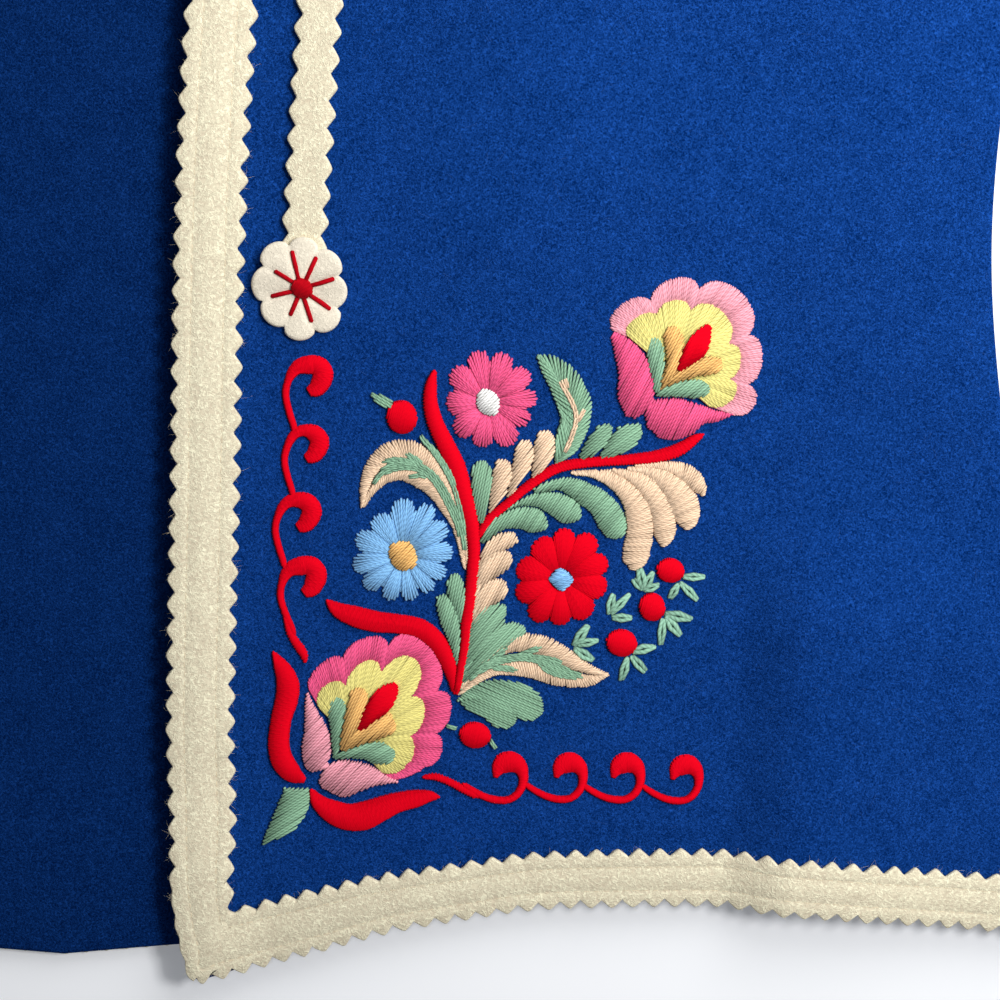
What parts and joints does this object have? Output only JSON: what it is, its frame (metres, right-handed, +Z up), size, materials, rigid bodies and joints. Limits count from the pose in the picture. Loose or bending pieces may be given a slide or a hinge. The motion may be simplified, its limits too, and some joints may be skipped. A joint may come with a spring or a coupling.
{
  "type": "embroidered folk vest",
  "caption": "Open sleeveless folk vest of blue felted wool with pinked cream felt bands, laid flat, front up.",
  "frame": {"origin": "middle of the underside of the whole vest's box, on the surface that it lies on", "axes": "+X towards the wearer's left, +Y from the hem to the neck, +Z up out of the surface"},
  "size_m": [0.4946, 0.5512, 0.0117],
  "materials": {
    "blue_wool": "matte",
    "cream_felt": "matte",
    "white_felt": "matte"
  },
  "bodies": {
    "root": {"back": "blue_wool", "front_left": "blue_wool", "front_right": "blue_wool", "edge_band_left": "cream_felt", "edge_band_right": "cream_felt", "back_hem_band": "cream_felt", "back_neck_band": "cream_felt", "dart_strip_left": "cream_felt", "dart_strip_right": "cream_felt", "felt_daisy_left": "white_felt", "felt_daisy_right": "white_felt"}
  },
  "joints": []
}
